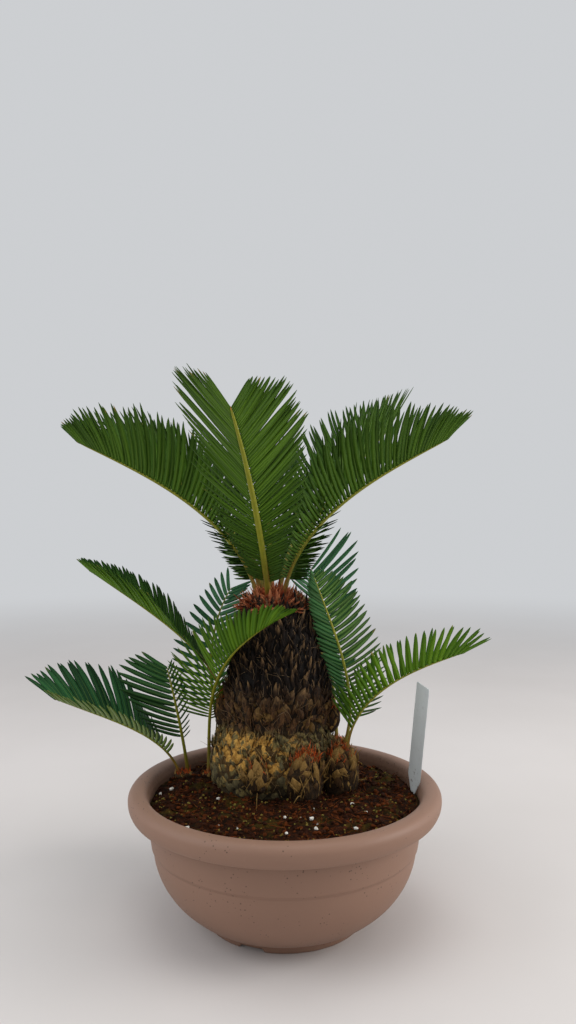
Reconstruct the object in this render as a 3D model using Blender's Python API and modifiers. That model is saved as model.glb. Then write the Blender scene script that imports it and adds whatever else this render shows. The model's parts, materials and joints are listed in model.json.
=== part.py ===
# Potted sago palm: a stout armoured trunk with side shoots and arching fronds, in a round bowl pot
import math

import bmesh
import bpy
import numpy as np
from mathutils import Matrix, Vector

# Driving dimensions, in metres; the middle of the pot's flat underside is at the origin
FIT_GAP = 0.0003
TURN_STEPS = 48

# Pot outer face from the lip of the rim down to the foot, as radius and height
POT_RIM = [(0.1325, 0.1210), (0.1355, 0.1238), (0.1405, 0.1245), (0.1465, 0.1234), (0.1497, 0.1190),
           (0.1498, 0.1125), (0.1460, 0.1050), (0.1436, 0.1058), (0.1432, 0.1110), (0.1390, 0.1145),
           (0.1345, 0.1125)]
POT_WALL = [(0.1326, 0.1040), (0.1302, 0.0900), (0.1280, 0.0750), (0.1268, 0.0728), (0.1247, 0.0600),
            (0.1195, 0.0450), (0.1107, 0.0300), (0.0998, 0.0180), (0.0880, 0.0085)]
POT_FOOT = [(0.0775, 0.0075), (0.0755, 0.0)]
POT_INNER = [(0.0725, 0.0035), (0.0745, 0.0112), (0.0868, 0.0122), (0.0972, 0.0207), (0.1078, 0.0325),
             (0.1164, 0.0470), (0.1214, 0.0615), (0.1248, 0.0760), (0.1290, 0.1040), (0.1300, 0.1150)]
NOTCH_TURN = 67.5
NOTCH_SIZE = (0.010, 0.024, 0.0042)

# Soil: level top, dipping towards the wall of the pot
SOIL_TOP = 0.1145
SOIL_LEVEL_RADIUS = 0.118
SOIL_EDGE = 0.1105
SOIL_SIDE_GAP = 0.0005
SOIL_EDGE_RADIUS = 0.1291

# Trunk stations from the flat cut at soil level upwards: height, centre x, radius
TRUNK_Y = 0.038
TRUNK_STATIONS = [(0.1148, -0.0140, 0.0600), (0.1250, -0.0140, 0.0625), (0.1400, -0.0135, 0.0625),
                  (0.1520, -0.0120, 0.0595), (0.1610, -0.0090, 0.0555), (0.1700, -0.0065, 0.0550),
                  (0.1850, -0.0060, 0.0562), (0.2060, -0.0060, 0.0545), (0.2370, -0.0065, 0.0510),
                  (0.2670, -0.0080, 0.0452), (0.2850, -0.0095, 0.0395), (0.2935, -0.0110, 0.0350)]
TRUNK_SIDES = 24

# Collar of dry scales that closes the top of the trunk and carries the crown
CROWN_CENTRE = (-0.0125, 0.0360)
CROWN_STATIONS = [(0.2938, 0.0325), (0.2970, 0.0332), (0.3005, 0.0300), (0.3035, 0.0195)]

# Side shoots: centre x, y, foot height, top height, greatest radius
SHOOT_FOOT = SOIL_TOP + FIT_GAP
SHOOT_SHAPE = [(0.0, 0.88), (0.18, 1.0), (0.5, 1.0), (0.76, 0.86), (0.92, 0.66), (1.0, 0.48)]
SHOOT_SIDES = 14
HOLLOW_DEPTH = 0.004
SHOOTS = {
    "pup_front": (0.0150, -0.0040, SHOOT_FOOT, 0.1600, 0.0240),
    "pup_right": (0.0550, 0.0095, SHOOT_FOOT, 0.1540, 0.0190),
    "pup_left": (-0.1045, 0.0475, SHOOT_FOOT, 0.1195, 0.0110),
    "pup_side": (-0.0785, 0.0455, SHOOT_FOOT, 0.1185, 0.0070),
    "pup_back_left": (-0.0640, 0.0950, SHOOT_FOOT, 0.1300, 0.0130),
    "pup_back_right": (0.0560, 0.0900, SHOOT_FOOT, 0.1400, 0.0160),
}
# Buds on the side of the trunk: centre, radius across, half height
BUD_SIDES = 12
BUD_RINGS = 7
BUD_SPAN = 68.0
BUDS = {
    "bud_left": ((-0.0620, 0.0380, 0.1860), 0.0110, 0.0205),
    "bud_right": ((0.0455, 0.0270, 0.1815), 0.0105, 0.0160),
    "bud_low": ((-0.0260, -0.0220, 0.1340), 0.0120, 0.0130),
}

# Blank plant label: foot point, top point, heading of its width, width, thickness
LABEL_FOOT = (0.1252, 0.0060, 0.1124)
LABEL_TOP = (0.1320, -0.0140, 0.2218)
LABEL_HEADING = -66.0
LABEL_WIDTH = 0.021
LABEL_THICK = 0.0010
LABEL_POINT = 0.14
LABEL_TIP = 0.30

# Fronds: every rib starts at its root with the heading and climb given and bends over by the arch
PETIOLE_HALF = 0.0026
BLADE_THICK = 0.0026
HALF_GAP = 0.0007
INNER_ROWS = 6
OUTER_ROWS = 6
LEAF_BEND = 2.0
TIP_FADE = 0.72
TIP_BEND = 1.6
RIB_STEPS = 240
FROND = dict(sway=0.0, leaf=0.060, vee=60.0, roll=0.0, wide=82.0, close=34.0, start=0.13,
             first=0.10, last=0.62, full=0.95, split=0.52, sides=(1.0, 1.0))
FRONDS = {
    "left_low": dict(root=(-0.0275, 0.0300), on="crown", heading=194, climb=74, arch=49, bend=2.15,
                     length=0.242, leaf=0.068, last=0.5, close=42),
    "left_high": dict(root=(-0.0245, 0.0425), on="crown", heading=165, climb=78, arch=54, bend=1.93,
                      length=0.246, leaf=0.070),
    "front": dict(root=(-0.0165, 0.0230), on="crown", heading=262, climb=56, arch=26, bend=1.1,
                  length=0.248, leaf=0.080, vee=42, close=34, last=0.62, first=0.2, full=0.6),
    "right_low": dict(root=(-0.0020, 0.0295), on="crown", heading=-15, climb=79, arch=52, bend=2.2,
                      length=0.233, leaf=0.068, last=0.45, close=42),
    "right_high": dict(root=(-0.0015, 0.0410), on="crown", heading=22, climb=76, arch=31, bend=2.2,
                       length=0.216, leaf=0.068),
    "back_right": dict(root=(-0.0065, 0.0485), on="crown", heading=60, climb=72, arch=52, bend=2.0,
                       length=0.225, leaf=0.066),
    "back": dict(root=(-0.0140, 0.0505), on="crown", heading=96, climb=76, arch=48, bend=2.0,
                 length=0.220, leaf=0.066),
    "back_left": dict(root=(-0.0210, 0.0490), on="crown", heading=131, climb=70, arch=54, bend=2.0,
                      length=0.228, leaf=0.066),
    "pup_left_out": dict(root=(-0.1085, 0.0435), on="pup_left", heading=188, climb=72, arch=53,
                         bend=3.4, sway=-12, length=0.153, leaf=0.062),
    "pup_left_up": dict(root=(-0.1010, 0.0510), on="pup_left", heading=225, climb=80, arch=6,
                        bend=1.4, length=0.114, leaf=0.055, vee=20, roll=-60, wide=72, close=50,
                        sides=(1.0, 0.45)),
    "pup_side": dict(root=(-0.0785, 0.0455), on="pup_side", heading=-90, climb=96, arch=66,
                     bend=2.0, sway=54, length=0.238, leaf=0.048, sides=(1.0, 0.42)),
    "bud_left": dict(root=(-0.0645, 0.0370), on="bud_left", heading=180, climb=68, arch=35,
                     bend=3.0, sway=-5, length=0.186, leaf=0.036),
    "pup_back_left": dict(root=(-0.0640, 0.0950), on="pup_back_left", heading=40, climb=115,
                          arch=66, bend=0.68, sway=-9, length=0.183, leaf=0.050, vee=15, roll=-50),
    "pup_right_out": dict(root=(0.0610, 0.0040), on="pup_right", heading=-5, climb=82, arch=62,
                          bend=2.7, length=0.170, leaf=0.046),
    "pup_right_up": dict(root=(0.0585, 0.0165), on="pup_right", heading=200, climb=112, arch=44,
                         bend=2.94, length=0.181, leaf=0.052, vee=15, roll=-100, wide=66, close=40,
                         sides=(0.66, 1.0)),
    "pup_back_right": dict(root=(0.0560, 0.0900), on="pup_back_right", heading=110, climb=85,
                           arch=35, bend=1.0, length=0.200, leaf=0.058, sides=(1.0, 0.7)),
}

# Base colour, roughness, metallic
LOOKS = {
    "pot": ((0.27, 0.165, 0.115), 0.55, 0.0),
    "soil": ((0.032, 0.014, 0.008), 0.95, 0.0),
    "trunk": ((0.045, 0.030, 0.016), 0.90, 0.0),
    "crown_scales": ((0.260, 0.085, 0.030), 0.85, 0.0),
    "pup": ((0.100, 0.065, 0.028), 0.85, 0.0),
    "bud": ((0.100, 0.062, 0.026), 0.85, 0.0),
    "plant_label": ((0.27, 0.28, 0.28), 0.45, 0.0),
    "frond_crown": ((0.035, 0.090, 0.006), 0.50, 0.0),
    "frond_pup": ((0.024, 0.090, 0.024), 0.50, 0.0),
}

for old in list(bpy.context.scene.objects):
    bpy.data.objects.remove(old, do_unlink=True)


def collection(name):
    group = bpy.data.collections.new(name)
    bpy.context.scene.collection.children.link(group)
    return group


PALM = collection("potted_sago_palm")
CUTTERS = collection("cutters")


def finish(name, mesh, look, group=None):
    """Object with its own plain material in the palm's collection"""
    ob = bpy.data.objects.new(name, mesh)
    (group or PALM).objects.link(ob)
    colour, rough, metal = LOOKS[look]
    mat = bpy.data.materials.new(name)
    mat.use_nodes = True
    shader = mat.node_tree.nodes["Principled BSDF"]
    shader.inputs["Base Color"].default_value = (*colour, 1.0)
    shader.inputs["Roughness"].default_value = rough
    shader.inputs["Metallic"].default_value = metal
    mesh.materials.append(mat)
    return ob


def mesh_from(name, points, faces):
    """Closed or open mesh with its normals made consistent"""
    mesh = bpy.data.meshes.new(name)
    mesh.from_pydata([tuple(p) for p in points], [], faces)
    bm = bmesh.new()
    bm.from_mesh(mesh)
    bmesh.ops.recalc_face_normals(bm, faces=bm.faces)
    bm.to_mesh(mesh)
    bm.free()
    return mesh


def loft(name, rings):
    """Skin over rings of equal count, closed flat at both ends"""
    count = len(rings[0])
    points = [p for ring in rings for p in ring]
    faces = []
    for low in range(len(rings) - 1):
        for k in range(count):
            nxt = (k + 1) % count
            faces.append((low * count + k, low * count + nxt,
                          (low + 1) * count + nxt, (low + 1) * count + k))
    faces.append(tuple(range(count)))
    faces.append(tuple(range((len(rings) - 1) * count, len(rings) * count)))
    return mesh_from(name, points, faces)


def ring(cx, cy, z, radius, sides):
    turn = [math.tau * k / sides for k in range(sides)]
    return [(cx + radius * math.cos(t), cy + radius * math.sin(t), z) for t in turn]


def turned(name, profile, look):
    """Profile of radius and height turned about the upright axis"""
    mesh = bpy.data.meshes.new(name)
    mesh.from_pydata([(r, 0.0, z) for r, z in profile], [(k, k + 1) for k in range(len(profile) - 1)], [])
    ob = finish(name, mesh, look)
    screw = ob.modifiers.new("turn", 'SCREW')
    screw.axis = 'Z'
    screw.steps = TURN_STEPS
    screw.render_steps = TURN_STEPS
    screw.use_merge_vertices = True
    screw.merge_threshold = 0.0001
    screw.use_normal_calculate = True
    return ob


def cutter(ob):
    ob.hide_render = True
    ob.display_type = 'WIRE'
    return ob


def cut(ob, tools):
    for tool in tools:
        mod = ob.modifiers.new("cut_" + tool.name, 'BOOLEAN')
        mod.operation = 'DIFFERENCE'
        mod.solver = 'EXACT'
        mod.object = tool


# Pot, with four shallow notches in its foot
pot_floor = (0.0, POT_INNER[0][1])
pot = turned("pot", [pot_floor] + POT_INNER + POT_RIM + POT_WALL + POT_FOOT + [(0.0, 0.0)], "pot")
notches = []
for k in range(4):
    bm = bmesh.new()
    bmesh.ops.create_cube(bm, size=1.0)
    place = (Matrix.Rotation(math.radians(NOTCH_TURN + 90 * k), 4, 'Z')
             @ Matrix.Translation((POT_FOOT[0][0], 0.0, 0.0))
             @ Matrix.Diagonal((*NOTCH_SIZE, 1.0)))
    bm.transform(place)
    mesh = bpy.data.meshes.new(f"notch_{k}")
    bm.to_mesh(mesh)
    bm.free()
    tool = bpy.data.objects.new(f"notch_{k}", mesh)
    CUTTERS.objects.link(tool)
    notches.append(cutter(tool))
cut(pot, notches)

# Soil fills the bowl a fit gap off its inner face
soil_side = [(r - SOIL_SIDE_GAP, z + FIT_GAP) for r, z in POT_INNER[:-1]]
soil_profile = ([(0.0, SOIL_TOP), (SOIL_LEVEL_RADIUS, SOIL_TOP), (SOIL_EDGE_RADIUS, SOIL_EDGE)]
                + soil_side[::-1] + [(0.0, POT_INNER[0][1] + FIT_GAP)])
turned("soil", soil_profile, "soil")


def shoot_mesh(name, spec, grow=0.0):
    cx, cy, foot, top, radius = spec
    rings = [ring(cx, cy, foot + (top - foot) * h, radius * w + grow, SHOOT_SIDES)
             for h, w in SHOOT_SHAPE]
    if grow:
        low = [(x, y, foot - HOLLOW_DEPTH) for x, y, _ in rings[0]]
        high = [(x, y, top + grow) for x, y, _ in rings[-1]]
        rings = [low] + rings[:-1] + [high]
    return loft(name, rings)


def bud_mesh(name, spec, grow=0.0):
    (cx, cy, cz), radius, half = spec
    rings = []
    for k in range(BUD_RINGS):
        t = math.radians(BUD_SPAN * (2 * k / (BUD_RINGS - 1) - 1))
        rings.append(ring(cx, cy, cz + (half + grow) * math.sin(t), (radius + grow) * math.cos(t),
                          BUD_SIDES))
    return loft(name, rings)


# Trunk skin, hollowed where the side shoots and buds press into it
trunk_rings = [ring(cx, TRUNK_Y, z, radius, TRUNK_SIDES) for z, cx, radius in TRUNK_STATIONS]
trunk = finish("trunk", loft("trunk", trunk_rings), "trunk")
hollows = []
tops = {"crown": CROWN_STATIONS[-1][0]}
for name, spec in SHOOTS.items():
    finish(name, shoot_mesh(name, spec), "pup")
    tops[name] = spec[3]
    away = math.hypot(spec[0] - TRUNK_STATIONS[1][1], spec[1] - TRUNK_Y)
    if away < TRUNK_STATIONS[1][2] + spec[4] + FIT_GAP:
        tool = bpy.data.objects.new("hollow_" + name, shoot_mesh("hollow_" + name, spec, FIT_GAP))
        CUTTERS.objects.link(tool)
        hollows.append(cutter(tool))
for name, spec in BUDS.items():
    finish(name, bud_mesh(name, spec), "bud")
    tops[name] = spec[0][2] + spec[2] * math.sin(math.radians(BUD_SPAN))
    tool = bpy.data.objects.new("hollow_" + name, bud_mesh("hollow_" + name, spec, FIT_GAP))
    CUTTERS.objects.link(tool)
    hollows.append(cutter(tool))
cut(trunk, hollows)

crown_rings = [ring(*CROWN_CENTRE, z, radius, TRUNK_SIDES) for z, radius in CROWN_STATIONS]
finish("crown_scales", loft("crown_scales", crown_rings), "crown_scales")

# Label blade with a pointed foot
foot = Vector(LABEL_FOOT)
rise = Vector(LABEL_TOP) - foot
across = Vector((math.cos(math.radians(LABEL_HEADING)), math.sin(math.radians(LABEL_HEADING)), 0.0))
facing = across.cross(rise).normalized() * (LABEL_THICK / 2)
half_width = rise.cross(facing).normalized() * (LABEL_WIDTH / 2)
shoulder = foot + rise * LABEL_POINT
top_end = foot + rise
outline = [foot - half_width * LABEL_TIP, foot + half_width * LABEL_TIP, shoulder + half_width,
           top_end + half_width, top_end - half_width, shoulder - half_width]
finish("plant_label", loft("plant_label", [[p - facing for p in outline], [p + facing for p in outline]]),
       "plant_label")


def rib(spec, s, n=RIB_STEPS):
    """Points of the rib at the fractions s of its length, from the root outwards"""
    mid = (np.arange(n) + 0.5) / n
    climb = np.radians(spec["climb"] - spec["arch"] * (1 - (1 - mid) ** spec["bend"]))
    head = np.radians(spec["heading"] + spec["sway"] * mid)
    step = np.stack([np.cos(climb) * np.cos(head), np.cos(climb) * np.sin(head), np.sin(climb)], 1)
    path = np.vstack([np.zeros(3), np.cumsum(step, 0) * spec["length"] / n])
    along = np.linspace(0, 1, n + 1)
    return np.stack([np.interp(s, along, path[:, k]) for k in range(3)], 1) + np.array(spec["at"])


def rib_frame(spec, s):
    """Unit vectors along the rib, off its upper side and across to the right"""
    climb = np.radians(spec["climb"] - spec["arch"] * (1 - (1 - s) ** spec["bend"]))
    head = np.radians(spec["heading"] + spec["sway"] * s)
    along = np.stack([np.cos(climb) * np.cos(head), np.cos(climb) * np.sin(head), np.sin(climb)], 1)
    upper = np.stack([-np.sin(climb) * np.cos(head), -np.sin(climb) * np.sin(head), np.cos(climb)], 1)
    right = np.stack([np.sin(head), -np.cos(head), np.zeros_like(s)], 1)
    roll = math.radians(spec["roll"])
    return (along, upper * math.cos(roll) - right * math.sin(roll),
            right * math.cos(roll) + upper * math.sin(roll))


def leaf_length(spec, s):
    grow = np.clip((s - spec["start"]) / (spec["full"] - spec["start"]), 0, 1)
    fade = np.clip((s - TIP_FADE) / (1 - TIP_FADE), 0, 1)
    swell = spec["first"] + (1 - spec["first"]) * grow
    return spec["leaf"] * swell * (1 - (1 - spec["last"]) * fade ** TIP_BEND)


def blade_half(name, spec, begin, end, rows, look):
    """Folded blade between two fractions of the rib; leaflet tips give its outline"""
    if begin == 0.0:
        stalk = np.array([0.0, spec["start"] * 0.96])
        leafy = np.linspace(spec["start"], end, rows)
    else:
        stalk = np.array([])
        leafy = np.linspace(begin, end, rows)
    s = np.concatenate([stalk, leafy])
    middle = rib(spec, s)
    along, upper, right = rib_frame(spec, s)
    reach = np.clip((s - spec["start"]) / (1 - spec["start"]), 0, 1)
    open_angle = np.radians(spec["wide"] + (spec["close"] - spec["wide"]) * reach ** LEAF_BEND)
    vee = math.radians(spec["vee"])
    on_stalk = s < spec["start"]
    columns = []
    for side in (1.0, -1.0):
        lean = np.sin(open_angle)[:, None] * (math.cos(vee) * right * side + math.sin(vee) * upper)
        share = spec["sides"][0 if side > 0 else 1]
        leaf = (middle + share * leaf_length(spec, s)[:, None]
                * (np.cos(open_angle)[:, None] * along + lean))
        stem = middle + right * side * PETIOLE_HALF
        columns.append(np.where(on_stalk[:, None], stem, leaf))
    points = np.stack([columns[0], middle, columns[1]], 1).reshape(-1, 3)
    faces = []
    for r in range(len(s) - 1):
        for c in range(2):
            a = r * 3 + c
            faces.append((a, a + 1, a + 4, a + 3))
    ob = finish(name, mesh_from(name, points, faces), look)
    thick = ob.modifiers.new("thickness", 'SOLIDIFY')
    thick.thickness = BLADE_THICK
    thick.offset = 0.0
    return ob


for name, own in FRONDS.items():
    spec = {**FROND, **own}
    roll = math.radians(spec["roll"])
    lift = FIT_GAP + abs(math.cos(math.radians(spec["climb"]))) * (
        BLADE_THICK / 2 * abs(math.cos(roll)) + PETIOLE_HALF * abs(math.sin(roll)))
    spec["at"] = (*spec["root"], tops[spec["on"]] + lift)
    look = "frond_crown" if spec["on"] == "crown" else "frond_pup"
    gap = HALF_GAP / 2 / spec["length"]
    blade_half(f"frond_{name}_inner", spec, 0.0, spec["split"] - gap, INNER_ROWS, look)
    blade_half(f"frond_{name}_outer", spec, spec["split"] + gap, 1.0, OUTER_ROWS, look)
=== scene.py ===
# Potted sago palm: scaly trunk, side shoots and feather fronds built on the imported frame
import json
import math

import bpy
import mathutils
import numpy as np
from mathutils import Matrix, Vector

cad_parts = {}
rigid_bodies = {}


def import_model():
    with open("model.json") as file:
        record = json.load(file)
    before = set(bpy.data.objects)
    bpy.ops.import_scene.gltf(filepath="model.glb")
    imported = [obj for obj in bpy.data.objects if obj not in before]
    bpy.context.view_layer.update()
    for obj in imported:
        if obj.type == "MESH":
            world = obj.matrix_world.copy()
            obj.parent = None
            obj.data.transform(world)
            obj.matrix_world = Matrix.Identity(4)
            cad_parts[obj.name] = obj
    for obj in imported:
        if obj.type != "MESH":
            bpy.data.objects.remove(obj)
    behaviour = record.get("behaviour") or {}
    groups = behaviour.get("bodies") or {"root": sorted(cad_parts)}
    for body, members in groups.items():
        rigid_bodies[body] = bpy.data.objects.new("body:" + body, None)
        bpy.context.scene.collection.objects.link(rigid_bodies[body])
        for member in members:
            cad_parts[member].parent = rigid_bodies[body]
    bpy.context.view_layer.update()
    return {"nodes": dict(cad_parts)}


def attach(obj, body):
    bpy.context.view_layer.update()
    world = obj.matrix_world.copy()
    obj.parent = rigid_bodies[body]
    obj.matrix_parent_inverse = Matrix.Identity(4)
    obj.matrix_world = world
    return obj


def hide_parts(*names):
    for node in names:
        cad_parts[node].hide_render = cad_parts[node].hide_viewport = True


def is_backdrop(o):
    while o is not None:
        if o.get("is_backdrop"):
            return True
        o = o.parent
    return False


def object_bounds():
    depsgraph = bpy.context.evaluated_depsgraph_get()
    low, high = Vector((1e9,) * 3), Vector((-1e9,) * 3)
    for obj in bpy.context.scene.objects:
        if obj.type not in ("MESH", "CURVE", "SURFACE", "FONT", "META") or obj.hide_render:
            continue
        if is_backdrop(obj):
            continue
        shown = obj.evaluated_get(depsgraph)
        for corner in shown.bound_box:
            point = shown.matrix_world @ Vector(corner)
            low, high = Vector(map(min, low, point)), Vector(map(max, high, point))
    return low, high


for start in list(bpy.data.objects):
    bpy.data.objects.remove(start, do_unlink=True)
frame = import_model()
print("frame loaded:", len(frame["nodes"]), "nodes")


def paint(red, green, blue):
    # display colour from 0 to 255 made linear by the usual curve
    part = np.array([red, green, blue]) / 255
    linear = np.where(part > 0.04045, ((part + 0.055) / 1.055) ** 2.4, part / 12.92)
    return (*(float(c) for c in linear), 1.0)


class Value:
    # a shader socket; arithmetic on it adds Math nodes
    def __init__(self, look, socket):
        self.look, self.socket = look, socket

    def math(self, operation, *values):
        return self.look.node("Math", {"operation": operation}, dict(enumerate(values)))

    def __add__(self, other):
        return self.math("ADD", self, other)

    def __sub__(self, other):
        return self.math("SUBTRACT", self, other)

    def __rsub__(self, other):
        return self.math("SUBTRACT", other, self)

    def __mul__(self, other):
        return self.math("MULTIPLY", self, other)

    def __pow__(self, other):
        return self.math("POWER", self, other)

    __radd__ = __add__
    __rmul__ = __mul__

    def ramp(self, low, high):
        # 0 below low, 1 above high, smooth between
        return self.look.node("MapRange", {"interpolation_type": "SMOOTHSTEP"},
                              {"Value": self, "From Min": low, "From Max": high})


class Look:
    # one material with its colour so far; node() takes a type, its settings and the values or
    # links of its sockets
    def __init__(self, name, colour=None, kind=bpy.data.materials, shader="Principled BSDF"):
        self.colour = colour
        self.material = kind.new(name)
        self.material.use_nodes = True
        self.tree = self.material.node_tree
        self.shader = self.tree.nodes[shader]
        self.place = self.node("TexCoord", {}, {}, "Object")

    def node(self, kind, settings, inputs, out=0):
        made = self.tree.nodes.new("ShaderNode" + kind)
        for key, value in settings.items():
            setattr(made, key, value)
        for key, value in inputs.items():
            self.feed(made.inputs[key], value)
        return Value(self, made.outputs[out])

    def feed(self, socket, value):
        if isinstance(value, Value):
            self.tree.links.new(value.socket, socket)
        else:
            socket.default_value = value

    def noise(self, scale, detail=3.0, rough=0.5, stretch=(1, 1, 1), bend=0.0):
        where = self.node("Mapping", {}, {"Vector": self.place, "Scale": stretch}, "Vector")
        return self.node("TexNoise", {}, {"Vector": where, "Scale": scale, "Detail": detail,
                                          "Roughness": rough, "Distortion": bend}, 0)

    def cells(self, scale):
        # distance to the nearest of many scattered points
        where = self.node("Mapping", {}, {"Vector": self.place}, "Vector")
        return self.node("TexVoronoi", {}, {"Vector": where, "Scale": scale}, "Distance")

    def axis(self, number):
        # x, y or z of the place on the piece
        return self.node("SeparateXYZ", {}, {"Vector": self.place}, number)

    def heed(self, names):
        # values stored on the mesh's points
        return [self.node("Attribute", {"attribute_name": name}, {}, "Fac") for name in names.split()]

    def mix(self, share, first, second):
        return self.node("Mix", {"data_type": "RGBA"}, {0: share, 6: first, 7: second}, 2)

    def over(self, share, colour):
        # lays a share of one more colour over the colour so far
        self.colour = self.mix(share, self.colour, colour)

    def wear(self, rough, specular, relief=None, depth=0.0, strength=0.0):
        # puts the colour so far, the gloss and the relief, as a bump of that depth, on the shader
        sockets = {"Base Color": self.colour, "Roughness": rough, "Specular IOR Level": specular}
        if relief is not None:
            sockets["Normal"] = self.node("Bump", {}, {"Height": relief, "Distance": depth,
                                                       "Strength": strength}, "Normal")
        for key, value in sockets.items():
            self.feed(self.shader.inputs[key], value)


latticeSize, latticeSteps = 4096, np.array([73856093, 19349663, 83492791])


def noiseAt(points, cell, seed):
    # value noise: random numbers on a cubic lattice, blended by smooth weights; from -1 to 1
    table = np.random.default_rng(seed).uniform(-1, 1, latticeSize)
    place = np.asarray(points) / cell
    corner = np.floor(place).astype(np.int64)
    part = place - corner
    part = part * part * (3 - 2 * part)
    total = 0.0
    for step in np.ndindex(2, 2, 2):
        pick = np.bitwise_xor.reduce((corner + np.array(step)) * latticeSteps, -1) & (latticeSize - 1)
        weight = np.prod(np.where(np.array(step) == 1, part, 1 - part), axis=-1)
        total = total + table[pick] * weight
    return total


up = np.array([0.0, 0.0, 1.0])


def unit(vectors):
    # each vector divided by its length
    return vectors / np.maximum(np.linalg.norm(vectors, axis=-1, keepdims=True), 1e-9)


def around(turn):
    # level unit vectors pointing out at the turn angles
    return np.stack([np.cos(turn), np.sin(turn), 0 * turn], -1)


def tubeFaces(rows, ring, copies=1):
    # quads between neighbouring rings, and one flat face over each end; repeated for the copies
    row, col = np.meshgrid(np.arange(rows - 1), np.arange(ring), indexing="ij")
    nextCol = (col + 1) % ring
    quads = np.stack([row * ring + col, row * ring + nextCol, (row + 1) * ring + nextCol,
                      (row + 1) * ring + col], -1).reshape(-1, 4)
    ends = np.stack([np.arange(ring)[::-1], np.arange(ring) + (rows - 1) * ring])
    shift = (np.arange(copies) * rows * ring)[:, None, None]
    return [(quads[None] + shift).reshape(-1, 4), (ends[None] + shift).reshape(-1, ring)]


def addObject(name, data):
    made = bpy.data.objects.new(name, data)
    bpy.context.scene.collection.objects.link(made)
    return made


class Shape:
    # points, faces and values on the points, gathered into one mesh
    def __init__(self):
        self.points, self.faces, self.values, self.count = [], [], {}, 0

    def add(self, points, faces, marks=None, **values):
        flat = points.reshape(-1, 3)
        self.points.append(flat)
        self.faces += [block + self.count for block in faces]
        for key, value in {**(marks or {}), **values}.items():
            spread = np.broadcast_to(value, points.shape[:-1]).reshape(-1)
            self.values.setdefault(key, []).append(spread)
        self.count += len(flat)
        return self

    def make(self, name, look, slotName, nodes, smooth=True):
        mesh = bpy.data.meshes.new(name)
        points = np.concatenate(self.points)
        loops = np.concatenate([block.reshape(-1) for block in self.faces])
        sizes = np.concatenate([np.full(len(block), block.shape[1]) for block in self.faces])
        mesh.vertices.add(len(points))
        mesh.vertices.foreach_set("co", points.astype(np.float32).reshape(-1))
        mesh.loops.add(len(loops))
        mesh.loops.foreach_set("vertex_index", loops.astype(np.int32))
        mesh.polygons.add(len(sizes))
        mesh.polygons.foreach_set("loop_start", (np.cumsum(sizes) - sizes).astype(np.int32))
        for key, parts in self.values.items():
            layer = mesh.attributes.new(key, "FLOAT", "POINT")
            layer.data.foreach_set("value", np.concatenate(parts).astype(np.float32))
        mesh.update(calc_edges=True)
        mesh.validate()
        mesh.polygons.foreach_set("use_smooth", np.full(len(mesh.polygons), smooth))
        mesh.materials.append(look.material)
        piece = addObject(name, mesh)
        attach(piece, "root")
        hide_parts(*nodes)
        print(name, len(sizes), "faces")


def blades(base, along, across, length, width, thick, outline, ring, curl, fold=0.0):
    # each blade is a ring of points carried along base + along*L*t + curl*L*t^2; outline gives
    # rows of (t, width share, thickness share), and the edges drop by fold times the half width;
    # t is kept as the reach, and the distance from the middle line as the edge
    rows = np.array(outline, float)
    t = rows[:, 0]
    count = len(base)
    reach = np.broadcast_to(length, count)[:, None, None]
    centre = base[:, None] + reach * (along[:, None] * t[:, None] + curl[:, None] * (t * t)[:, None])
    ahead = unit(along[:, None] + 2 * curl[:, None] * t[:, None])
    side = unit(across[:, None] - np.sum(across[:, None] * ahead, -1, keepdims=True) * ahead)
    face = np.cross(ahead, side)
    shape = np.array(ring, float)
    half = (np.broadcast_to(width, count)[:, None] / 2 * rows[:, 1])[..., None]
    deep = (np.broadcast_to(thick, count)[:, None] * rows[:, 2])[..., None]
    sideways = half * shape[:, 0]
    upward = deep * shape[:, 1] - fold * half * np.abs(shape[:, 0])
    points = (centre[:, :, None] + side[:, :, None] * sideways[..., None]
              + face[:, :, None] * upward[..., None])
    marks = {"reach": t[:, None], "edge": np.abs(shape[:, 0])}
    return points, tubeFaces(len(rows), len(shape), count), marks


def perBlade(values):
    # one number for each blade, ready to spread over its rows and ring
    return values[:, None, None]


def readAt(pairs, z):
    # a fixed number, or one read between known heights or fractions
    return np.interp(z, *np.array(pairs).T) if isinstance(pairs, list) else pairs + 0 * z


# rings of (sideways, upward) points round a blade, and rows of (t, width share, thickness share)
leafRing = [(1, 0), (0.45, 0.5), (0, 0.15), (-0.45, 0.5), (-1, 0), (0, -0.8)]
scaleRing = [(1, 0), (0.72, 0.55), (0, 0.85), (-0.72, 0.55), (-1, 0), (-0.6, -0.4), (0, -0.5),
             (0.6, -0.4)]
hairRing = [(1, 0), (-0.5, 0.87), (-0.5, -0.87)]
strandRows = [(0, 1, 1), (0.5, 0.8, 0.8), (1, 0.25, 0.25)]


def smoothed(stations, rows=160, passes=6):
    # stations resampled evenly by height, then each column blurred with its neighbours
    table = np.array(stations, float)
    z = np.linspace(table[0, 0], table[-1, 0], rows)
    fine = np.stack([np.interp(z, table[:, 0], column) for column in table.T], -1)
    for step in range(passes):
        fine[2:-2, 1:] = sum(fine[k:rows - 4 + k, 1:] for k in range(5)) / 5
    return fine


def barrel(table, z, turn):
    # point, outward normal and uphill direction of a body turned about a wandering axis: axis x,
    # axis y and radius are read from the table at each height, the slope a step above and below
    def read(column, at):
        return np.interp(at, table[:, 0], table[:, column])
    step = 0.002
    radius = read(3, z)
    slope = (read(3, z + step) - read(3, z - step)) / (2 * step)
    flat = around(turn)
    point = np.stack([read(1, z), read(2, z), z], -1) + radius[..., None] * flat
    return point, unit(flat - slope[..., None] * up), unit(flat * slope[..., None] + up)


goldenAngle = 137.508


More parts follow.
